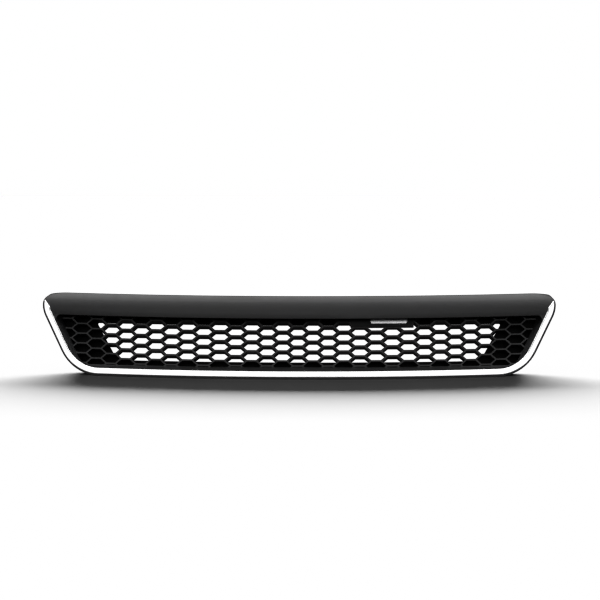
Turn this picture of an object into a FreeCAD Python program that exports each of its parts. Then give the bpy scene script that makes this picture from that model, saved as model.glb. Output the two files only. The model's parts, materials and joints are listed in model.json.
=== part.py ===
import FreeCAD, Part
import math
import os

from FreeCAD import Vector

# Front grille of a car. X runs across the car, the front looks towards -Y, Z is up.
# While it is built, Y = 0 is the foremost line of the bright moulding, in the middle of the car.
# Everything curved in plan is turned about a vertical axis behind the grille.

# Overall size and front outline
half_width = 446.0
height = 138.0
side_slant = math.radians(27.7)        # side edges, from the vertical
low_corner_r = 75.0
side_bow_r = 45.0                      # upper part of the side, turning upright
top_corner_r = 14.0
shoulder_r = 120.0
shoulder_turn = math.radians(18.0)

# Surfaces curved in plan
face_r = 1300.0                        # plan radius of the moulding and the brow
face_lean = math.radians(12.0)
top_fall = 6.5                         # the top wall drops this much towards the rear
sweep = math.radians(24.0)             # half angle of every turned shape, past the ends

# Base frame
wall = 2.6
seat_step = 3.0                        # the moulding stands this far in front of its seat
brow_high = 36.5
lip_z = height - brow_high             # lower edge of the brow
brow_back = 42.0                       # top edge of the brow, behind the foremost line
brow_bulge = 4.2
top_wall_deep = 36.0                   # depth of the top wall behind the brow
lip_corner_r = 8.0                     # the brow's underside turns down into the side returns

# Bright moulding
reveal = 2.0                           # dark edge of the frame outside the moulding
band = 11.0
edge_round = 2.0
tip_z = height - 17.0                  # the two ends of the moulding
tip_slope = math.radians(38.0)
tip_cut_in = 30.0                      # reach of the slanted cut at each end, inwards and outwards
tip_cut_out = 60.0
stem_r = 1.2
bottom_stems = 7
bottom_stem_inset = 38.03              # from the start of the low corner
side_stem_heights = (45.0, tip_z - 31.0)

# Opening in front of the mesh
ledge_rise = 4.6                       # the lower ledge climbs this much to the mesh
return_slope = 0.95                    # the side returns close in this much per mm of depth

# Mesh insert
mesh_r = 1600.0
mesh_lean = math.radians(16.1)
mesh_back = 23.0                       # front of the mesh at the bottom, behind the foremost line
mesh_deep = 20.0
tunnel_fall = math.radians(19.2)       # the cells run rearwards and down
cell_taper = 0.0025                    # a cell narrows by this share per mm of depth
flange = 3.0
rim_wall = 3.0
column_pitch = 27.0
row_pitch = 17.25
cell_edge = 17.0                       # flat top of a cell
cell_wall = 2.1
first_row = 11.8                       # centre of the lowest middle-column cell, along the lean
swell = 2.0                            # columns are a little narrower in the middle and at the ends
swell_columns = 11.5
cell_ahead = 8.0                       # a cell is drawn from here, in front of the mesh
cell_behind = 12.0                     # and to here, behind it
field_margin = 0.5                     # cells reach this far into the border around them
flange_lift = 17.5                     # top of the border plate above the brow's lower edge

# Backing panel
gap = 0.3                              # clearance between pieces that are laid together
plate_inset = wall + 3 * gap           # edges of the plates that fill the frame
panel = 2.5
blind_top = 57.41                      # closed width of the panel at each end of the window
blind_low = 63.56
window_top = lip_z - 16.4
window_low = 22.5
window_corner = 26.0

# Badge carrier and blank badge plate
badge_x = 156.0
badge_width = 65.0
badge_height = 8.5
badge_thick = 1.4
badge_z = lip_z - 6.0
badge_taper = 2.6                      # the plate's lower edge is this much shorter at each end
carrier_left = 92.0
carrier_right = 197.0
carrier_low = lip_z - 17.0
carrier_high = lip_z - 1.5
carrier_proud = 4.0
carrier_stem_r = 2.0
carrier_stem_spacing = 70.0
pad_thick = 7.0
pad_margin = 1.5

# Fasteners
screw_r = 1.5
core_r = 1.2
head_r = 2.6
head_thick = 2.0
boss_r = 2.8
screw_reach = 9.0                      # how far a mesh screw goes into its boss
boss_long = 40.0                       # drawn this long, then cut off at the frame's walls
upper_screws = 9
lower_screws = 8
upper_screw_lift = 14.1                # above the brow's lower edge
lower_screw_z = 8.6
upper_screw_inset = 82.08              # from the side edge of the outline
lower_screw_inset = 48.03              # from the start of the low corner
nut_ratio = 2.25                       # outer radius of a push nut, in radii of its stem
nut_thick = 1.0

# Upper brackets
bracket_x = 235.0
bracket_width = 96.0
bracket_thick = 2.0
bracket_reach = 34.0                   # behind the rear edge of the frame
bracket_lap = 26.0                     # under the top wall
bracket_hole_r = 3.5
bracket_hole_spacing = 60.0
bracket_hole_behind = 20.0             # behind the rear edge of the frame
bracket_screw_spacing = 50.0
bracket_screw_ahead = 17.0             # in front of the rear edge of the frame
bracket_head_r = 4.2
speed_nut_width = 14.0
speed_nut_deep = 9.4
speed_nut_thick = 0.8

# Lower ears, tongues and their spring clips
tongue_places = {"outer_left": -250.0, "inner_left": -90.0, "inner_right": 90.0, "outer_right": 250.0}
ear_width = 40.0
ear_reach = 16.0
ear_root = 4.0                         # overlap of an ear with the floor it grows from
tongue_width = 34.0
tongue_thick = 1.6
tongue_lap = 14.0
tongue_reach = 26.0                    # behind the ear
tongue_lip = 7.0
clip_width = 18.0
clip_thick = 0.8
clip_lap = 12.0
rivet_head_r = 3.0
rivet_head_thick = 1.2

# Side locating pins, grommets and pads
pin_inset = 15.39                      # from the side edge of the outline
pin_z = height - 58.0
pin_r = 4.5
pin_length = 22.0
pin_collar_r = 6.0                     # thicker root of the pin, inside the grommet
pin_base_r = 8.0
pin_base_thick = 2.5
pin_plate = 3.0
pin_plate_high = 24.0
pin_plate_margin = 2.0                 # the plate stands out past the pin's base
pin_chamfer = 1.8
spigot_r = 2.5
grommet_r = 9.0
grommet_length = 8.0
foam_thick = 2.0
foam_deep = 12.0
foam_low = 50.0
foam_high = 92.0

# Upper seal
seal_bulb_r = 1.8
seal_strip = 9.0
seal_thick = 1.4
seal_half_angle = math.radians(17.0)

# Rear edge of the frame's floor, behind the deepest corner of the panel
rear_room = 3.1
body_depth = mesh_back + (mesh_deep + gap + panel) * math.cos(mesh_lean) + rear_room

# Reach of shapes that only cut or bound others
far = 400.0
front_limit = -60.0
rear_limit = 100.0
low_limit = -10.0
high_limit = height + 20.0
past = 1.0                             # a cut runs this far past what it cuts
sharp = 1.0                            # smallest corner radius of a bounding shape


def depth_on(radius, x, back):
    """Y of a turned surface that lies `back` behind Y = 0 in the middle."""
    return radius - math.sqrt((radius - back) ** 2 - x * x)


def face_back(z):
    return z * math.tan(face_lean)


def mesh_front(z):
    return mesh_back + z * math.tan(mesh_lean)


def polygon(points):
    return Part.makePolygon(points + [points[0]])


def turned(points, radius):
    """Solid turned about the vertical axis at (0, radius) from a section of (back, z) points.

    An item that is a pair of points is an arc: its middle and its end."""
    edges = []
    last = points[0]
    for item in points[1:]:
        if isinstance(item[0], tuple):
            middle, end = item
            arc = Part.Arc(Vector(0, *last), Vector(0, *middle), Vector(0, *end))
            edges.append(arc.toShape())
            last = end
        else:
            edges.append(Part.makeLine(Vector(0, *last), Vector(0, *item)))
            last = item
    if last != points[0]:
        edges.append(Part.makeLine(Vector(0, *last), Vector(0, *points[0])))
    face = Part.Face(Part.Wire(edges))
    axis = Vector(0, radius, 0)
    face.rotate(axis, Vector(0, 0, 1), -math.degrees(sweep))
    return face.revolve(axis, Vector(0, 0, 1), 2 * math.degrees(sweep))


def side_lengths():
    """Lengths of the straight bottom (half) and of the straight side."""
    turn = math.pi / 2 - side_slant
    cap = math.pi / 2 - shoulder_turn
    rise = low_corner_r * (1 - math.cos(turn)) + side_bow_r * math.sin(side_slant)
    rise += top_corner_r * math.sin(cap) + shoulder_r * (1 - math.sin(cap))
    side = (height - rise) / math.sin(turn)
    reach = low_corner_r * math.sin(turn) + side * math.cos(turn)
    reach += side_bow_r * (1 - math.cos(side_slant))
    return half_width - reach, side


def half_outline(inset):
    """Right half of the front outline, moved inwards by `inset`: (start, middle, end) pieces."""
    bottom, side = side_lengths()
    steps = [
        (bottom, 0, None),
        (low_corner_r - inset, math.pi / 2 - side_slant, "arc"),
        (side, 0, None),
        (side_bow_r - inset, side_slant, "arc"),
        (max(top_corner_r - inset, sharp), math.pi / 2 - shoulder_turn, "arc"),
        (shoulder_r - inset, shoulder_turn, "arc"),
    ]
    x, z, heading = 0.0, inset, 0.0
    pieces = []
    for size, turn, kind in steps:
        if kind is None:
            end = (x + size * math.cos(heading), z + size * math.sin(heading))
            middle = None
        else:
            cx = x - size * math.sin(heading)
            cz = z + size * math.cos(heading)
            half = heading + turn / 2
            heading += turn
            middle = (cx + size * math.sin(half), cz - size * math.cos(half))
            end = (cx + size * math.sin(heading), cz - size * math.cos(heading))
        pieces.append(((x, z), middle, end))
        x, z = end
    pieces.append(((x, z), None, (0.0, z)))
    return pieces


def outline_prism(inset):
    """The front outline, drawn out along Y."""
    edges = []
    for side in (1, -1):
        for start, middle, end in half_outline(inset):
            a = Vector(side * start[0], -far, start[1])
            b = Vector(side * end[0], -far, end[1])
            if middle is None:
                edges.append(Part.makeLine(a, b))
            else:
                m = Vector(side * middle[0], -far, middle[1])
                edges.append(Part.Arc(a, m, b).toShape())
    wire = Part.Wire(Part.__sortEdges__(edges))
    return Part.Face(wire).extrude(Vector(0, 2 * far, 0))


def corner_arc(point, before, after, radius):
    """Arc of that radius tangent to both straight lines through a corner: (start, middle, end)."""
    to_before = (before - point).normalize()
    to_after = (after - point).normalize()
    half = to_before.getAngle(to_after) / 2
    reach = radius / math.tan(half)
    inward = (to_before + to_after).normalize()
    middle = point + inward * (radius / math.sin(half) - radius)
    return point + to_before * reach, middle, point + to_after * reach


def trapezoid(y, half_low, slant, low, high, low_corner, high_corner):
    """Upright trapezoid wire at depth y, wider at the top, with round corners."""
    half_high = half_low + (high - low) * math.tan(slant)
    corners = [Vector(half_low, y, low), Vector(half_high, y, high),
               Vector(-half_high, y, high), Vector(-half_low, y, low)]
    radii = [low_corner, high_corner, high_corner, low_corner]
    arcs = [corner_arc(corners[i], corners[i - 1], corners[(i + 1) % 4], radii[i]) for i in range(4)]
    edges = []
    for i, (start, middle, end) in enumerate(arcs):
        edges.append(Part.Arc(start, middle, end).toShape())
        edges.append(Part.makeLine(end, arcs[(i + 1) % 4][0]))
    return Part.Wire(edges)


def side_line_x(z):
    """X of the straight side edge of the outline, carried on to any height."""
    bottom, _ = side_lengths()
    turn = math.pi / 2 - side_slant
    start_x = bottom + low_corner_r * math.sin(turn)
    start_z = low_corner_r * (1 - math.cos(turn))
    return start_x + (z - start_z) * math.tan(side_slant)


def funnel_shape(low):
    """Half width at Y = 0 and side tilt of the space between the two slanted side returns."""
    inner = reveal + band
    # the side edge of the moulding, inner line, at two heights on the leaning face
    slant = math.tan(side_slant)
    corner_x = side_line_x(0.0) - inner / math.cos(side_slant)
    z1, z2 = 20.0, 100.0
    y1 = depth_on(face_r, corner_x + z1 * slant, face_back(z1) + seat_step)
    y2 = depth_on(face_r, corner_x + z2 * slant, face_back(z2) + seat_step)
    tilt = math.atan(slant + return_slope * (y2 - y1) / (z2 - z1))
    at_low = corner_x + z1 * slant + return_slope * y1 - (z1 - low) * math.tan(tilt)
    return at_low, tilt


def funnel(extra, low):
    """The space in front of the mesh, between the two slanted side returns, under the brow."""
    at_low, tilt = funnel_shape(low)
    rear_y = 200.0
    low_corner = low_corner_r - reveal - band
    wires = []
    for y in (0.0, rear_y):
        half = at_low + extra - return_slope * y
        wires.append(trapezoid(y, half, tilt, low, lip_z + extra, low_corner, lip_corner_r))
    return Part.makeLoft(wires, True, True)


def ledge_region(low, high):
    """Everything over the lower ledge, which climbs from the moulding to the mesh."""
    return turned(
        [(front_limit, low), (face_back(low) + seat_step, low), (mesh_front(low) + past, low + ledge_rise),
         (rear_limit, low + ledge_rise), (rear_limit, high), (front_limit, high)],
        face_r,
    )


def opening():
    """Everything cut out of the base frame in front of the mesh."""
    low = reveal + band
    return funnel(0.0, low).common(ledge_region(low, lip_z))


def in_front_of_mesh():
    return turned(
        [(front_limit, low_limit), (mesh_front(low_limit) - gap, low_limit),
         (mesh_front(high_limit) - gap, high_limit), (front_limit, high_limit)],
        mesh_r,
    )


def opening_walls():
    """The opening made larger by one wall, ending at the front of the mesh."""
    low = reveal + band - wall
    space = funnel(wall, low).common(ledge_region(low, lip_z + wall))
    return space.common(in_front_of_mesh())


def brow_arc(shift):
    """Middle and end of the brow's front curve, moved inwards by `shift`."""
    start_back = face_back(lip_z) + seat_step
    middle_back = (start_back + brow_back) / 2 - brow_bulge
    middle_z = (lip_z + height) / 2
    tilt = math.atan2(brow_back - start_back, height - lip_z)
    middle = (middle_back + shift * math.cos(tilt), middle_z - shift * math.sin(tilt))
    return middle, (brow_back + shift * math.sin(tilt), height - shift)


def spread(count, span):
    return [span * (i / (count - 1) - 0.5) for i in range(count)]


def place(radius, lean, back, x, z, behind):
    """Point behind a turned leaning surface, and its normal that points to the rear."""
    around = radius - back - z * math.tan(lean)
    aside = x / around
    ahead = math.sqrt(1 - aside * aside)
    normal = Vector(-aside * math.cos(lean), ahead * math.cos(lean), -math.sin(lean))
    return Vector(x, radius - around * ahead, z) + normal * behind, normal


def face_bar(radius, x, z, start, end):
    """Round bar along the normal of the moulding's face, between two depths behind it."""
    point, normal = place(face_r, face_lean, 0.0, x, z, start)
    return Part.makeCylinder(radius, end - start, point, normal)


def mesh_bar(radius, x, z, start, end):
    """Round bar along the normal of the mesh, between two depths behind its front."""
    point, normal = place(mesh_r, mesh_lean, mesh_back, x, z, start)
    return Part.makeCylinder(radius, end - start, point, normal)


def upper_screw_places():
    z = lip_z + upper_screw_lift
    span = 2 * (side_line_x(z) - upper_screw_inset)
    return [(x, z) for x in spread(upper_screws, span)]


def lower_screw_places():
    bottom, _ = side_lengths()
    span = 2 * (bottom - lower_screw_inset)
    return [(x, lower_screw_z) for x in spread(lower_screws, span)]


def stem_places():
    """Where the moulding's stems stand: along the bottom, and up each side."""
    middle = reveal + band / 2
    bottom, _ = side_lengths()
    span = 2 * (bottom - bottom_stem_inset)
    places = [(x, middle) for x in spread(bottom_stems, span)]
    for z in side_stem_heights:
        x = side_line_x(z) - middle / math.cos(side_slant)
        places += [(x, z), (-x, z)]
    return places


def rear_top_back():
    """Depth of the rear edge of the top wall in the middle, behind Y = 0."""
    return brow_back + top_wall_deep


def top_wall_bar(radius, x, start, end):
    """Round bar square to the falling top wall; depths are measured down from its top face."""
    fall = math.atan(top_fall / (rear_top_back() - brow_back))
    back = rear_top_back() - bracket_screw_ahead
    top_z = height - (back - brow_back) * math.tan(fall)
    around = face_r - back
    aside = x / around
    ahead = math.sqrt(1 - aside * aside)
    up = Vector(-aside * math.sin(fall), ahead * math.sin(fall), math.cos(fall))
    point = Vector(x, face_r - around * ahead, top_z)
    return Part.makeCylinder(radius, end - start, point - up * end, up)


def top_wall_layer(low_start, low_end, back_start, back_end):
    """A layer under (or, with negative depths, over) the falling top wall."""
    slope = top_fall / (rear_top_back() - brow_back)
    near = height - (back_start - brow_back) * slope
    rear = height - (back_end - brow_back) * slope
    return turned(
        [(back_start, near - low_end), (back_start, near - low_start),
         (back_end, rear - low_start), (back_end, rear - low_end)],
        face_r,
    )


def x_slice(low, high):
    return Part.makeBox(high - low, 2 * far, 2 * far, Vector(low, -far, -far))


def bracket_screw_xs():
    half = bracket_screw_spacing / 2
    return [side * bracket_x + step for side in (-1, 1) for step in (-half, half)]


def group(solids):
    return Part.Compound(solids)


def pin_x():
    return side_line_x(pin_z) - pin_inset


def pin_seat_y():
    """Rear face of the plate that carries a locating pin."""
    rear = body_depth + pin_z * (rear_top_back() - body_depth) / (height - top_fall)
    return depth_on(face_r, pin_x(), rear)


def pin_plates():
    plates = []
    inner = pin_x() - pin_base_r - pin_plate_margin
    for side in (1, -1):
        outer = side_line_x(pin_z + pin_plate_high / 2)
        box = Part.makeBox(outer - inner, pin_plate, pin_plate_high,
                           Vector(inner, pin_seat_y() - pin_plate, pin_z - pin_plate_high / 2))
        if side < 0:
            box = box.mirror(Vector(0, 0, 0), Vector(1, 0, 0))
        plates.append(box)
    return group(plates).common(outline_prism(wall / 2))


def ears():
    """Flat ears behind the floor of the frame, one for each tongue."""
    root = body_depth - ear_root
    end = body_depth + ear_reach
    ring = turned([(root, 0.0), (end, 0.0), (end, wall), (root, wall)], face_r)
    half = ear_width / 2
    return group([ring.common(x_slice(x - half, x + half)) for x in tongue_places.values()])


def tongue_y(x, behind):
    """Depth at a tongue's middle; `behind` is measured from the rear edge of the floor."""
    return depth_on(face_r, x, body_depth + behind)


def rivet_spot(x):
    return Vector(x, tongue_y(x, ear_reach - tongue_lap / 2), 0.0)


def frame_outside():
    middle, end = brow_arc(0.0)
    body = turned(
        [(seat_step, 0.0), (face_back(lip_z) + seat_step, lip_z), (middle, end),
         (rear_top_back(), height - top_fall), (body_depth, 0.0)],
        face_r,
    )
    return body.common(outline_prism(0.0))


def frame_inside():
    """Everything behind the front skin of the frame, before the side walls are set off."""
    middle, end = brow_arc(wall)
    ceiling = height - top_fall - wall
    return turned(
        [(seat_step + wall + face_back(low_limit), low_limit),
         (face_back(lip_z) + seat_step + wall, lip_z), (middle, end),
         (rear_top_back(), ceiling), (rear_limit, ceiling), (rear_limit, low_limit)],
        face_r,
    )


def frame_bosses():
    screws = upper_screw_places() + lower_screw_places()
    bosses = [mesh_bar(boss_r, x, z, -boss_long, -gap) for x, z in screws]
    return group(bosses).common(frame_inside()).cut(opening())


def frame_holes():
    screws = upper_screw_places() + lower_screw_places()
    cuts = [mesh_bar(core_r, x, z, -screw_reach - past, past) for x, z in screws]
    cuts += [face_bar(stem_r + gap / 2, x, z, 0.0, seat_step + 2 * wall) for x, z in stem_places()]
    cuts += [top_wall_bar(screw_r + gap, x, -past, 2 * wall) for x in bracket_screw_xs()]
    for x in tongue_places.values():
        cuts.append(Part.makeCylinder(screw_r + gap / 2, 3 * wall, rivet_spot(x) - Vector(0, 0, wall)))
    for side in (1, -1):
        spot = Vector(side * pin_x(), pin_seat_y() - 2 * pin_plate, pin_z)
        cuts.append(Part.makeCylinder(spigot_r + gap / 2, 3 * pin_plate, spot, Vector(0, 1, 0)))
    return cuts


def base_frame():
    hollow = frame_inside().common(outline_prism(wall)).cut(opening_walls())
    seat = moulding_ring(gap).common(face_layer(front_limit, seat_step))
    body = frame_outside().cut(hollow).cut(opening()).cut(seat)
    return body.fuse([frame_bosses(), pin_plates(), ears()]).cut(frame_holes())


def moulding_ring(extra):
    """The U of the moulding in front view, made larger by `extra`, drawn out along Y."""
    ring = outline_prism(reveal - extra).cut(outline_prism(reveal + band + extra))
    rise = math.pi / 2 - tip_slope
    tip_x = half_width - reveal - band / 2
    tip = tip_z + 2 * extra
    inner = (tip_x - tip_cut_in * math.cos(rise), tip - tip_cut_in * math.sin(rise))
    outer = (tip_x + tip_cut_out * math.cos(rise), tip + tip_cut_out * math.sin(rise))
    corners = [(0.0, inner[1]), inner, outer, (outer[0], far), (0.0, far)]
    for side in (1, -1):
        points = [Vector(side * x, -far, z) for x, z in corners]
        ring = ring.cut(Part.Face(polygon(points)).extrude(Vector(0, 2 * far, 0)))
    return ring


def face_layer(front, rear):
    """A layer between two depths behind the moulding's leaning face."""
    low, high = face_back(low_limit), face_back(high_limit)
    return turned(
        [(low + front, low_limit), (high + front, high_limit),
         (high + rear, high_limit), (low + rear, low_limit)],
        face_r,
    )


def on_face(edge):
    """True if an edge of the moulding lies on its front face."""
    span = edge.LastParameter - edge.FirstParameter
    points = [edge.valueAt(edge.FirstParameter + span * part) for part in (0.1, 0.5, 0.9)]
    depths = [face_r - math.hypot(point.x, face_r - point.y) - face_back(point.z) for point in points]
    return max(depths) < gap / 3


def bright_moulding():
    ring = moulding_ring(0.0).common(face_layer(0.0, seat_step - gap))
    ring = ring.makeFillet(edge_round, [edge for edge in ring.Edges if on_face(edge)])
    stems = [face_bar(stem_r, x, z, seat_step - 2 * gap, seat_step + wall + 3 * nut_thick)
             for x, z in stem_places()]
    return ring.fuse(stems)


def moulding_push_nuts():
    nuts = []
    for x, z in stem_places():
        start = seat_step + wall + gap
        ring = face_bar(nut_ratio * stem_r, x, z, start, start + nut_thick)
        nuts.append(ring.cut(face_bar(stem_r + gap / 6, x, z, 0.0, rear_limit)))
    return group(nuts)


def mesh_exit_x(z):
    """Half width of the opening where it meets the mesh, at one height."""
    low = reveal + band
    at_low, tilt = funnel_shape(low)
    x = half_width
    # the mesh lies further back the further out, so the meeting point is found step by step
    for _ in range(40):
        y = depth_on(mesh_r, x, mesh_front(z))
        x = at_low + (z - low) * math.tan(tilt) - return_slope * y
    return x


def mesh_point(depth, z):
    """(back, z) of a point `depth` behind the mesh front, level with height z on that front."""
    along = z / math.cos(mesh_lean)
    back = mesh_back + along * math.sin(mesh_lean) + depth * math.cos(mesh_lean)
    return back, z - depth * math.sin(mesh_lean)


def mesh_layer(front, rear, low, high):
    """A layer that follows the mesh, between two depths and two heights on its front."""
    corners = [mesh_point(front, low), mesh_point(rear, low), mesh_point(rear, high), mesh_point(front, high)]
    return turned(corners, mesh_r)


def side_prism(extra):
    """Between the two sides of the mesh, made larger by `extra`, drawn straight along Y."""
    z1, z2 = reveal + band + ledge_rise, lip_z
    x1, x2 = mesh_exit_x(z1), mesh_exit_x(z2)
    slant = math.atan((x2 - x1) / (z2 - z1))
    half_low = x1 + extra / math.cos(slant) + (front_limit - z1) * math.tan(slant)
    wire = trapezoid(-far, half_low, slant, front_limit, far, sharp, sharp)
    return Part.Face(wire).extrude(Vector(0, 2 * far, 0))


def block_low(extra):
    return reveal + band + ledge_rise - extra


def block_high(extra):
    return lip_z + extra


def mesh_block(extra, front, rear, inset):
    """The deep middle part of the mesh, made larger by `extra`, between two depths."""
    layer = mesh_layer(front, rear, block_low(extra), block_high(extra))
    return layer.common(side_prism(extra)).common(outline_prism(inset))


def flange_plate(front, rear, inset):
    """A thin border plate that follows the mesh front and fills the frame."""
    tall = mesh_layer(front, rear, low_limit, lip_z + flange_lift)
    return tall.common(outline_prism(inset))


def droop(x):
    """How far the curved mesh front lies behind its middle, at x."""
    return depth_on(mesh_r, x, mesh_back) - mesh_back


def column_x(u):
    """X on the grille of a place counted in columns from the middle."""
    return column_pitch * u - swell * math.sin(2 * math.pi * u / swell_columns)


def cell_section(column, centre, depth):
    """Six corners of one cell at a depth behind the mesh front."""
    half_high = row_pitch / 2
    corner_out = column_pitch - cell_edge / 2
    slope = math.atan2(half_high, corner_out - cell_edge / 2)
    tip = corner_out - cell_wall / 2 / math.sin(slope)
    top = half_high - cell_wall / 2
    flat = tip - top / math.tan(slope)
    middle_x = column_x(column)
    scale = 1 - cell_taper * depth
    points = []
    for across, up in [(tip, 0), (flat, top), (-flat, top), (-tip, 0), (-flat, -top), (flat, -top)]:
        aside = column_x(column + across / column_pitch) - middle_x
        # the rims stay level although the mesh curves back
        level = (droop(middle_x + aside) - droop(middle_x)) * math.sin(tunnel_fall)
        along = centre + scale * (up + level / math.cos(tunnel_fall - mesh_lean))
        back = mesh_back + droop(middle_x) + along * math.sin(mesh_lean)
        points.append(Vector(middle_x + scale * aside, back + depth * math.cos(tunnel_fall),
                             along * math.cos(mesh_lean) - depth * math.sin(tunnel_fall)))
    return points


def cell_prism(column, centre):
    """One six-sided cell that narrows rearwards; all cells run the same way."""
    front = cell_section(column, centre, -cell_ahead)
    rear = cell_section(column, centre, mesh_deep + cell_behind)
    faces = [Part.Face(polygon(front)), Part.Face(polygon(rear))]
    for i in range(6):
        faces.append(Part.Face(polygon([front[i - 1], front[i], rear[i], rear[i - 1]])))
    shell = Part.makeShell(faces)
    shell.sewShape()
    return Part.Solid(shell)


def carrier_pad(extra):
    """Box over the closed pad of the mesh behind the badge carrier."""
    return Part.makeBox(carrier_right - carrier_left + 2 * extra, 2 * far, far,
                        Vector(carrier_left - extra, -far, carrier_low - extra))


def carrier_stem_xs():
    middle = (carrier_left + carrier_right) / 2
    return [middle - carrier_stem_spacing / 2, middle + carrier_stem_spacing / 2]


def carrier_z():
    return (carrier_low + carrier_high) / 2


def mesh_insert():
    plate = flange_plate(0.0, flange, plate_inset)
    block_inset = plate_inset + panel + gap
    body = mesh_block(rim_wall, 0.0, mesh_deep, block_inset).fuse(plate)
    cells = []
    columns_each_side = math.ceil(mesh_exit_x(lip_z) / column_pitch)
    rows = math.ceil((lip_z - first_row) / row_pitch)
    for column in range(-columns_each_side, columns_each_side + 1):
        shift = row_pitch / 2 if column % 2 else 0.0
        cells += [cell_prism(column, first_row + shift + row_pitch * row) for row in range(rows)]
    field = mesh_block(field_margin, -past, mesh_deep + past, block_inset + rim_wall)
    holes = group(cells).common(field.cut(carrier_pad(pad_margin)))
    body = body.cut(holes)
    pocket = mesh_block(0.0, pad_thick, mesh_deep + past, block_inset + rim_wall)
    cuts = [pocket.common(carrier_pad(0.0))]
    cuts += [mesh_bar(carrier_stem_r + gap / 2, x, carrier_z(), -past, pad_thick + past)
             for x in carrier_stem_xs()]
    cuts += [mesh_bar(screw_r + gap, x, z, -past, flange + past)
             for x, z in upper_screw_places() + lower_screw_places()]
    return body.cut(cuts)


def backing_panel():
    seat = flange + gap
    plate = flange_plate(seat, seat + panel, plate_inset)
    outer = mesh_block(rim_wall + gap + panel, seat, mesh_deep + gap + panel, plate_inset)
    inner = mesh_block(rim_wall + gap, 0.0, mesh_deep + gap, plate_inset + panel)
    body = plate.fuse(outer).cut(inner)
    half_top = mesh_exit_x(window_top) - blind_top
    half_low = mesh_exit_x(window_low) - blind_low
    slant = math.atan((half_top - half_low) / (window_top - window_low))
    wire = trapezoid(-far, half_low, slant, window_low, window_top, window_corner, panel)
    window = Part.Face(wire).extrude(Vector(0, 2 * far, 0))
    cuts = [window]
    cuts += [mesh_bar(screw_r + gap, x, z, 0.0, seat + panel + past)
             for x, z in upper_screw_places() + lower_screw_places()]
    return body.cut(cuts)


def mesh_screws(places):
    under_head = flange + panel + 2 * gap
    screws = []
    for x, z in places:
        shank = mesh_bar(core_r - gap / 3, x, z, -screw_reach, under_head)
        neck = mesh_bar(screw_r, x, z, 0.0, under_head)
        head = mesh_bar(head_r, x, z, under_head, under_head + head_thick)
        screws.append(shank.fuse([neck, head]))
    return group(screws)


def badge_carrier():
    layer = mesh_layer(-carrier_proud, -gap, carrier_low, carrier_high)
    body = layer.common(x_slice(carrier_left, carrier_right))
    stems = [mesh_bar(carrier_stem_r, x, carrier_z(), -carrier_proud / 2, pad_thick + 4 * nut_thick)
             for x in carrier_stem_xs()]
    return body.fuse(stems)


def badge_plate():
    low = badge_z - badge_height / 2
    high = badge_z + badge_height / 2
    front = -carrier_proud - gap - badge_thick
    layer = mesh_layer(front, -carrier_proud - gap, low - badge_height, high + badge_height)
    half = badge_width / 2
    corners = [(-half, high), (half, high), (half - badge_taper, low), (badge_taper - half, low)]
    face = Part.Face(polygon([Vector(badge_x + x, -far, z) for x, z in corners]))
    return layer.common(face.extrude(Vector(0, 2 * far, 0)))


def badge_push_nuts():
    nuts = []
    for x in carrier_stem_xs():
        start = pad_thick + gap
        ring = mesh_bar(nut_ratio * carrier_stem_r, x, carrier_z(), start, start + nut_thick)
        nuts.append(ring.cut(mesh_bar(carrier_stem_r + gap / 6, x, carrier_z(), 0.0, rear_limit)))
    return group(nuts)


def upper_bracket(side):
    start = rear_top_back() - bracket_lap
    lap = top_wall_layer(wall + gap, wall + gap + bracket_thick, start, rear_top_back())
    top = height - top_fall - wall - gap
    tab = turned(
        [(rear_top_back(), top - bracket_thick), (rear_top_back(), top),
         (rear_top_back() + bracket_reach, top), (rear_top_back() + bracket_reach, top - bracket_thick)],
        face_r,
    )
    middle = side * bracket_x
    body = lap.fuse(tab).common(x_slice(middle - bracket_width / 2, middle + bracket_width / 2))
    cuts = [top_wall_bar(screw_r + gap, x, 0.0, 3 * wall) for x in bracket_screw_xs() if x * side > 0]
    hole_y = bracket_hole_y()
    for step in (-0.5, 0.5):
        spot = Vector(middle + step * bracket_hole_spacing, hole_y, 0.0)
        cuts.append(Part.makeCylinder(bracket_hole_r, height, spot))
    return body.cut(cuts)


def bracket_hole_y():
    return depth_on(face_r, bracket_x, rear_top_back() + bracket_hole_behind)


def bracket_screws():
    under = wall + 2 * gap + bracket_thick
    screws = []
    for x in bracket_screw_xs():
        shank = top_wall_bar(screw_r, x, -gap - speed_nut_thick, under)
        screws.append(shank.fuse(top_wall_bar(bracket_head_r, x, under, under + head_thick)))
    return group(screws)


def bracket_speed_nuts():
    back = rear_top_back() - bracket_screw_ahead
    half = speed_nut_width / 2
    front, rear = back - speed_nut_deep / 2, back + speed_nut_deep / 2
    layer = top_wall_layer(-gap - speed_nut_thick, -gap, front, rear)
    nuts = []
    for x in bracket_screw_xs():
        nut = layer.common(x_slice(x - half, x + half))
        nuts.append(nut.cut(top_wall_bar(screw_r + gap / 6, x, -2 * wall, wall)))
    return group(nuts)


def lower_tongue(x):
    low = wall + gap
    high = low + tongue_thick
    start = body_depth + ear_reach - tongue_lap
    end = body_depth + ear_reach + tongue_reach
    flat = turned([(start, low), (end, low), (end, high), (start, high)], face_r)
    lip = turned([(end - tongue_thick, low), (end, low), (end, low + tongue_lip),
                  (end - tongue_thick, low + tongue_lip)], face_r)
    body = flat.fuse(lip).common(x_slice(x - tongue_width / 2, x + tongue_width / 2))
    return body.cut(Part.makeCylinder(screw_r + gap / 2, height, rivet_spot(x)))


def tongue_rivets():
    rivets = []
    for x in tongue_places.values():
        top = wall + 2 * gap + tongue_thick
        shank = Part.makeCylinder(screw_r, top - gap, rivet_spot(x) + Vector(0, 0, gap))
        head = Part.makeCylinder(rivet_head_r, rivet_head_thick, rivet_spot(x) + Vector(0, 0, top))
        rivets.append(shank.fuse(head))
    return group(rivets)


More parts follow.
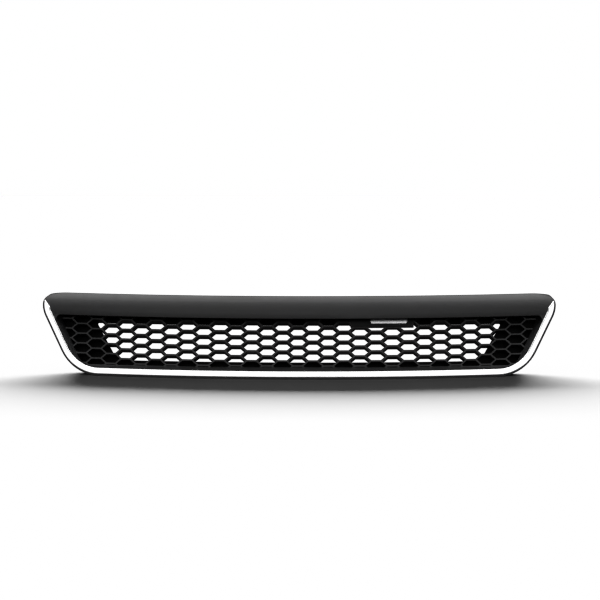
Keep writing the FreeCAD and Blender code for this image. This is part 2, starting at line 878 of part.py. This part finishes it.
def tongue_spring_clips():
    """Bent strips of spring steel that grip the free end of each tongue from below."""
    end = body_depth + ear_reach + tongue_reach
    low = wall - clip_thick
    rear = end + gap
    strip = [(end - clip_lap, low), (rear + clip_thick, low), (rear + clip_thick, low + tongue_lip),
             (rear, low + tongue_lip), (rear, wall), (end - clip_lap, wall)]
    ring = turned(strip, face_r)
    half = clip_width / 2
    return group([ring.common(x_slice(x - half, x + half)) for x in tongue_places.values()])


def locating_pin(side):
    spot = Vector(side * pin_x(), pin_seat_y() + gap, pin_z)
    rearwards = Vector(0, 1, 0)
    base = Part.makeCylinder(pin_base_r, pin_base_thick, spot, rearwards)
    collar = Part.makeCylinder(pin_collar_r, pin_base_thick + grommet_length + 2 * gap, spot, rearwards)
    pin = Part.makeCylinder(pin_r, pin_base_thick + pin_length, spot, rearwards)
    tip = [edge for edge in pin.Edges if edge.CenterOfMass.y > spot.y + pin_length]
    pin = pin.makeChamfer(pin_chamfer, tip)
    spigot_length = pin_plate + 2 * gap + 3 * nut_thick
    spigot = Part.makeCylinder(spigot_r, spigot_length, spot - rearwards * spigot_length, rearwards)
    return base.fuse([collar, pin, spigot])


def pin_push_nuts():
    nuts = []
    for side in (-1, 1):
        front = pin_seat_y() - pin_plate - gap - nut_thick
        spot = Vector(side * pin_x(), front, pin_z)
        rearwards = Vector(0, 1, 0)
        ring = Part.makeCylinder(nut_ratio * spigot_r, nut_thick, spot, rearwards)
        nuts.append(ring.cut(Part.makeCylinder(spigot_r + gap / 6, nut_thick, spot, rearwards)))
    return group(nuts)


def grommet(side):
    """Rubber ring with a groove, pushed on to the pin's collar against its base."""
    start = pin_seat_y() + 2 * gap + pin_base_thick
    axis = Vector(0, 1, 0)
    ring = Part.makeCylinder(grommet_r, grommet_length, Vector(side * pin_x(), start, pin_z), axis)
    third = grommet_length / 3
    spot = Vector(side * pin_x(), start + third, pin_z)
    groove = Part.makeCylinder(grommet_r + past, third, spot, axis)
    groove = groove.cut(Part.makeCylinder((grommet_r + pin_collar_r) / 2, third, spot, axis))
    spot = Vector(side * pin_x(), start - past, pin_z)
    bore = Part.makeCylinder(pin_collar_r + gap / 3, grommet_length + 2 * past, spot, axis)
    return ring.cut([groove, bore])


def foam_pad(side):
    """Soft strip on the outside of the side wall, near its rear edge."""
    skin = outline_prism(-foam_thick - gap).cut(outline_prism(-gap))
    middle = (foam_low + foam_high) / 2
    rear = body_depth + foam_low * (rear_top_back() - body_depth) / height
    y = depth_on(face_r, side_line_x(middle), rear) - foam_deep
    x_low = half_width / 2
    box = Part.makeBox(half_width, foam_deep, foam_high - foam_low, Vector(x_low, y, foam_low))
    if side < 0:
        box = box.mirror(Vector(0, 0, 0), Vector(1, 0, 0))
    return skin.common(box)


def upper_seal():
    """Strip laid on the top wall, with a round bulb behind its rear edge."""
    rear = rear_top_back()
    front = rear - seal_strip
    edge_z = height - top_fall
    front_z = edge_z + seal_strip * top_fall / (rear - brow_back)
    high = edge_z + gap + seal_thick
    low = high - 2 * seal_bulb_r
    section = [
        (front, front_z + gap), (front, front_z + gap + seal_thick), (rear, high),
        ((rear + 2 * seal_bulb_r, (high + low) / 2), (rear + gap, low)),
        (rear + gap, edge_z + gap),
    ]
    half = (face_r - rear) * math.sin(seal_half_angle)
    return turned(section, face_r).common(x_slice(-half, half))


def nodes():
    pieces = {
        "base_frame": base_frame(),
        "bright_moulding": bright_moulding(),
        "moulding_push_nuts": moulding_push_nuts(),
        "mesh_insert": mesh_insert(),
        "backing_panel": backing_panel(),
        "mesh_screws_upper": mesh_screws(upper_screw_places()),
        "mesh_screws_lower": mesh_screws(lower_screw_places()),
        "badge_carrier": badge_carrier(),
        "badge_plate": badge_plate(),
        "badge_push_nuts": badge_push_nuts(),
        "bracket_screws": bracket_screws(),
        "bracket_speed_nuts": bracket_speed_nuts(),
        "tongue_rivets": tongue_rivets(),
        "tongue_spring_clips": tongue_spring_clips(),
        "pin_push_nuts": pin_push_nuts(),
        "upper_seal": upper_seal(),
    }
    for name, side in (("left", -1), ("right", 1)):
        pieces["upper_bracket_" + name] = upper_bracket(side)
        pieces["locating_pin_" + name] = locating_pin(side)
        pieces["pin_grommet_" + name] = grommet(side)
        pieces["foam_pad_" + name] = foam_pad(side)
    for name, x in tongue_places.items():
        pieces["lower_tongue_" + name] = lower_tongue(x)
    return pieces


def write_parts():
    """Moves the whole grille so that Y = 0 is the middle of its depth, and writes each piece."""
    pieces = nodes()
    box = Part.Compound(list(pieces.values())).optimalBoundingBox(False)
    shift = Vector(0, -(box.YMin + box.YMax) / 2, -box.ZMin)
    os.makedirs("parts", exist_ok=True)
    for name, shape in pieces.items():
        shape.translate(shift)
        shape.exportStep(os.path.join("parts", name + ".step"))
    print("depth", round(box.YLength, 3), "moved back by", round(shift.y, 3), "raised by", round(shift.z, 4))


write_parts()
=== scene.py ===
import json
import math

import bpy
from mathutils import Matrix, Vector


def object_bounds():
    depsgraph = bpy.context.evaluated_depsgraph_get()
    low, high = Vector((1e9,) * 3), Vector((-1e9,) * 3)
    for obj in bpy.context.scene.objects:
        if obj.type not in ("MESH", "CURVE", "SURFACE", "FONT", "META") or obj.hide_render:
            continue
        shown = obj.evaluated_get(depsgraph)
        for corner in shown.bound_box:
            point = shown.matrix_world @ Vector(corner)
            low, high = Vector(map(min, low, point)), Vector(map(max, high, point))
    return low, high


# Looks of the front grille. Metres, X across the car, the front looks towards -Y, Z is up.

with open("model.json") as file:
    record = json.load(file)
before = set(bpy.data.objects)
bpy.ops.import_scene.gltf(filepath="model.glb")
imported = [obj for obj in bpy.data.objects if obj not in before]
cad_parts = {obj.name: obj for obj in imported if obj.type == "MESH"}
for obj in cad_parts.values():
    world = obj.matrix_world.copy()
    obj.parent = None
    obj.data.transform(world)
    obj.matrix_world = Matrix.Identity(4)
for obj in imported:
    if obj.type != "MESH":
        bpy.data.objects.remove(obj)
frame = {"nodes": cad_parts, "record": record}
cad_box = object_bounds()
nodes = frame["nodes"]

# Camera: a little above the grille and a little to its right, from far away
aim = Vector((0.0041, -0.052, 0.1328))
camera_distance = 4.0
camera_elevation = math.radians(5.0)
camera_azimuth = math.radians(1.3)
camera_lens = 140.7                  # mm, on a sensor this wide
sensor_width = 36.0
clip_end = 60.0

# Floor
floor_size = 14.0
floor_drop = 0.0002                  # the floor lies this far below the grille's lowest face
floor_tones = ((0.92, 0.92, 0.92), (0.93, 0.93, 0.93))

# Sky: how bright it is by the height of the look, for everything but the camera
sky = [(0.0, 0.02), (0.30, 0.12), (0.60, 0.50), (1.0, 0.90)]

# Lights: size, place, target, power in watts
softbox = ((5.0, 3.0), (0.0, 0.5, 2.4), (0.0, 0.0, 0.0), 122.0)
strip = ((8.0, 0.62), (0.0, -3.0, 1.20), (0.0, 0.0, 0.07), 19.0)
back_light = ((3.4, 1.3), (0.0, 3.0, 1.55), (0.0, -0.2, 0.0), 4000.0)

# Materials
pattern_range = (0.3, 0.7)           # most of a noise lies in here, so tones and gloss follow it
smooth_angle = math.radians(28.0)    # edges sharper than this stay crisp
gloss_spread = 0.04                  # moulded plastic's roughness varies this much both ways
haze_spread = 0.05                   # plated metal's roughness rises this much in its hazy patches

# Moulded plastics and rubber by material slot:
# name, dark tone, light tone, roughness, scale of the grain, its depth, specular level
moulded = {
    "frame_plastic": ("frame_look", (0.010, 0.010, 0.0105), (0.013, 0.013, 0.0135),
                      0.40, 2400.0, 0.00008, 0.5),
    "mesh_plastic": ("mesh_look", (0.018, 0.018, 0.019), (0.024, 0.024, 0.025),
                     0.42, 2000.0, 0.00008, 0.5),
    "panel_plastic": ("panel_look", (0.006, 0.006, 0.006), (0.010, 0.010, 0.010),
                      0.75, 1500.0, 0.0001, 0.2),
    "carrier_plastic": ("carrier_look", (0.010, 0.010, 0.011), (0.016, 0.016, 0.017),
                        0.55, 1800.0, 0.0001, 0.3),
    "coated_steel": ("coated_steel_look", (0.018, 0.018, 0.020), (0.030, 0.030, 0.033),
                     0.35, 700.0, 0.0001, 0.5),
    "rubber": ("rubber_look", (0.014, 0.014, 0.014), (0.024, 0.024, 0.024),
               0.68, 1200.0, 0.0002, 0.3),
}


def new_material(name):
    material = bpy.data.materials.new(name)
    material.use_nodes = True
    tree = material.node_tree
    shader = tree.nodes["Principled BSDF"]
    place = tree.nodes.new("ShaderNodeTexCoord").outputs["Object"]
    return material, tree, shader, place


def noise(tree, place, scale, detail):
    node = tree.nodes.new("ShaderNodeTexNoise")
    node.inputs["Scale"].default_value = scale
    node.inputs["Detail"].default_value = detail
    node.inputs["Roughness"].default_value = 0.55
    tree.links.new(place, node.inputs["Vector"])
    return node.outputs["Fac"]


def cells(tree, place, scale):
    node = tree.nodes.new("ShaderNodeTexVoronoi")
    node.inputs["Scale"].default_value = scale
    tree.links.new(place, node.inputs["Vector"])
    return node.outputs["Distance"]


def between(tree, pattern, low, high):
    """A value that runs from low to high as the pattern runs over the middle of its range."""
    node = tree.nodes.new("ShaderNodeMapRange")
    node.inputs["From Min"].default_value = pattern_range[0]
    node.inputs["From Max"].default_value = pattern_range[1]
    node.inputs["To Min"].default_value = low
    node.inputs["To Max"].default_value = high
    tree.links.new(pattern, node.inputs["Value"])
    return node.outputs["Result"]


def two_tone(tree, pattern, dark, light):
    """A colour that runs from dark to light as the pattern runs over the middle of its range."""
    ramp = tree.nodes.new("ShaderNodeValToRGB")
    for stop, position, tone in zip(ramp.color_ramp.elements, pattern_range, (dark, light)):
        stop.position = position
        stop.color = (*tone, 1.0)
    tree.links.new(pattern, ramp.inputs["Fac"])
    return ramp.outputs["Color"]


def bump(tree, shader, pattern, strength, depth):
    node = tree.nodes.new("ShaderNodeBump")
    node.inputs["Strength"].default_value = strength
    node.inputs["Distance"].default_value = depth
    tree.links.new(pattern, node.inputs["Height"])
    tree.links.new(node.outputs["Normal"], shader.inputs["Normal"])


def moulded_plastic(name, dark, light, rough, grain_scale, grain_depth, specular):
    """Injection moulded plastic: faint tone drift, uneven gloss, a fine eroded grain."""
    material, tree, shader, place = new_material(name)
    tone = noise(tree, place, scale=9.0, detail=3.0)
    tree.links.new(two_tone(tree, tone, dark, light), shader.inputs["Base Color"])
    gloss = noise(tree, place, scale=46.0, detail=5.0)
    roughness = between(tree, gloss, rough - gloss_spread, rough + gloss_spread)
    tree.links.new(roughness, shader.inputs["Roughness"])
    shader.inputs["Specular IOR Level"].default_value = specular
    grain = noise(tree, place, scale=grain_scale, detail=2.0)
    bump(tree, shader, grain, strength=0.35, depth=grain_depth)
    return material


def bright_plating():
    """Bright plated metal: nearly even tone, slight waviness, a few hazier patches."""
    material, tree, shader, place = new_material("bright_trim_look")
    haze = noise(tree, place, scale=30.0, detail=3.0)
    tone = two_tone(tree, haze, (0.93, 0.93, 0.935), (0.97, 0.97, 0.97))
    tree.links.new(tone, shader.inputs["Base Color"])
    rough = 0.04
    tree.links.new(between(tree, haze, rough, rough + haze_spread), shader.inputs["Roughness"])
    shader.inputs["Metallic"].default_value = 1.0
    wave = noise(tree, place, scale=60.0, detail=1.0)
    bump(tree, shader, wave, strength=0.05, depth=0.0002)
    return material


def brushed_plate():
    """Blank badge plate: bright satin metal with fine lines along its length."""
    material, tree, shader, place = new_material("badge_look")
    stretch = tree.nodes.new("ShaderNodeMapping")
    stretch.inputs["Scale"].default_value = (4.0, 400.0, 2600.0)
    tree.links.new(place, stretch.inputs["Vector"])
    lines = noise(tree, stretch.outputs["Vector"], scale=1.0, detail=3.0)
    tone = two_tone(tree, lines, (0.90, 0.90, 0.91), (0.97, 0.97, 0.98))
    tree.links.new(tone, shader.inputs["Base Color"])
    tree.links.new(between(tree, lines, 0.20, 0.32), shader.inputs["Roughness"])
    shader.inputs["Metallic"].default_value = 1.0
    bump(tree, shader, lines, strength=0.08, depth=0.0001)
    return material


def zinc_steel():
    """Zinc plated steel: mottled spangle and fine wear."""
    material, tree, shader, place = new_material("zinc_steel_look")
    tone = two_tone(tree, cells(tree, place, 420.0), (0.42, 0.42, 0.40), (0.66, 0.66, 0.62))
    tree.links.new(tone, shader.inputs["Base Color"])
    shader.inputs["Metallic"].default_value = 1.0
    wear = noise(tree, place, scale=300.0, detail=5.0)
    tree.links.new(between(tree, wear, 0.28, 0.46), shader.inputs["Roughness"])
    bump(tree, shader, wear, strength=0.25, depth=0.0001)
    return material


def foam():
    """Open-cell foam: pitted all over, with painted shade darkening each pit."""
    material, tree, shader, place = new_material("foam_look")
    pits_and_painted_shade = cells(tree, place, 900.0)
    # The tone follows the pits and is darkest at their bottoms: painted shade in the pits.
    tone = two_tone(tree, pits_and_painted_shade, (0.02, 0.02, 0.021), (0.09, 0.09, 0.092))
    tree.links.new(tone, shader.inputs["Base Color"])
    shader.inputs["Roughness"].default_value = 0.95
    bump(tree, shader, pits_and_painted_shade, strength=0.9, depth=0.0006)
    return material


def dress():
    """Gives every CAD node its finish, by the record's material slots."""
    looks = {slot: moulded_plastic(*values) for slot, values in moulded.items()}
    looks["bright_trim"] = bright_plating()
    looks["badge_bright"] = brushed_plate()
    looks["zinc_steel"] = zinc_steel()
    looks["foam"] = foam()
    slots = {part["node"]: part["material_slot"] for part in frame["record"]["subparts"]}
    for name, node in nodes.items():
        node.data.materials.clear()
        node.data.materials.append(looks[slots[name]])


def shade_round():
    """Smooth shading with crisp edges on the CAD nodes."""
    for node in nodes.values():
        bpy.context.view_layer.objects.active = node
        node.select_set(True)
        bpy.ops.object.shade_auto_smooth(angle=smooth_angle)
        node.select_set(False)


def add_camera():
    data = bpy.data.cameras.new("camera")
    data.lens = camera_lens
    data.sensor_width = sensor_width
    data.clip_end = clip_end
    camera = bpy.data.objects.new("camera", data)
    bpy.context.collection.objects.link(camera)
    away = Vector((
        math.sin(camera_azimuth) * math.cos(camera_elevation),
        -math.cos(camera_azimuth) * math.cos(camera_elevation),
        math.sin(camera_elevation),
    ))
    camera.location = aim + away * camera_distance
    camera.rotation_euler = (-away).to_track_quat("-Z", "Y").to_euler()
    bpy.context.scene.camera = camera


def add_floor():
    """A pale floor that takes the soft shadow but throws no light back on the grille."""
    bpy.ops.mesh.primitive_plane_add(size=floor_size, location=(0, 0, cad_box[0][2] - floor_drop))
    floor = bpy.context.object
    floor.name = "studio_floor"
    material, tree, shader, place = new_material("floor_look")
    tone = noise(tree, place, scale=3.0, detail=2.0)
    tree.links.new(two_tone(tree, tone, *floor_tones), shader.inputs["Base Color"])
    shader.inputs["Roughness"].default_value = 0.9
    shader.inputs["Specular IOR Level"].default_value = 0.0
    floor.data.materials.append(material)
    floor.visible_diffuse = False
    floor.visible_glossy = False
    floor.is_shadow_catcher = True
    return floor


def add_sky():
    """White for the camera; for everything else bright above and dark near the ground."""
    world = bpy.data.worlds.new("studio")
    world.use_nodes = True
    tree = world.node_tree
    tree.nodes.clear()
    output = tree.nodes.new("ShaderNodeOutputWorld")
    mix = tree.nodes.new("ShaderNodeMixShader")
    seen = tree.nodes.new("ShaderNodeBackground")
    seen.inputs["Color"].default_value = (1.0, 1.0, 1.0, 1.0)
    lit = tree.nodes.new("ShaderNodeBackground")
    path = tree.nodes.new("ShaderNodeLightPath")
    place = tree.nodes.new("ShaderNodeTexCoord")
    split = tree.nodes.new("ShaderNodeSeparateXYZ")
    ramp = tree.nodes.new("ShaderNodeValToRGB")
    stops = ramp.color_ramp.elements
    while len(stops) < len(sky):
        stops.new(1.0)
    for stop, (height, level) in zip(stops, sky):
        stop.position = height
        stop.color = (level, level, level, 1.0)
    tree.links.new(place.outputs["Generated"], split.inputs["Vector"])
    tree.links.new(split.outputs["Z"], ramp.inputs["Fac"])
    tree.links.new(ramp.outputs["Color"], lit.inputs["Color"])
    tree.links.new(path.outputs["Is Camera Ray"], mix.inputs["Fac"])
    tree.links.new(lit.outputs["Background"], mix.inputs[1])
    tree.links.new(seen.outputs["Background"], mix.inputs[2])
    tree.links.new(mix.outputs["Shader"], output.inputs["Surface"])
    bpy.context.scene.world = world


def area_light(name, size, location, target, power):
    data = bpy.data.lights.new(name, "AREA")
    data.shape = "RECTANGLE"
    data.size, data.size_y = size
    data.energy = power
    light = bpy.data.objects.new(name, data)
    light.location = location
    light.rotation_euler = (Vector(target) - Vector(location)).to_track_quat("-Z", "Y").to_euler()
    bpy.context.collection.objects.link(light)
    light.visible_camera = False
    return light


def only_on(light, name, objects):
    """Lets a light reach some objects only; every object still throws its shadow."""
    lit = bpy.data.collections.new(name)
    for thing in objects:
        lit.objects.link(thing)
    light.light_linking.receiver_collection = lit


def add_lights(floor):
    """Softbox above and strip in front for the grille, a light from behind for the floor."""
    top = area_light("overhead_softbox", *softbox)
    front = area_light("front_strip", *strip)
    front.visible_diffuse = False
    back = area_light("floor_light", *back_light)
    only_on(top, "lit_from_above", nodes.values())
    only_on(front, "lit_from_the_front", nodes.values())
    only_on(back, "lit_from_behind", [floor])


dress()
shade_round()
add_camera()
add_sky()
add_lights(add_floor())
bpy.context.scene.view_settings.view_transform = "Standard"
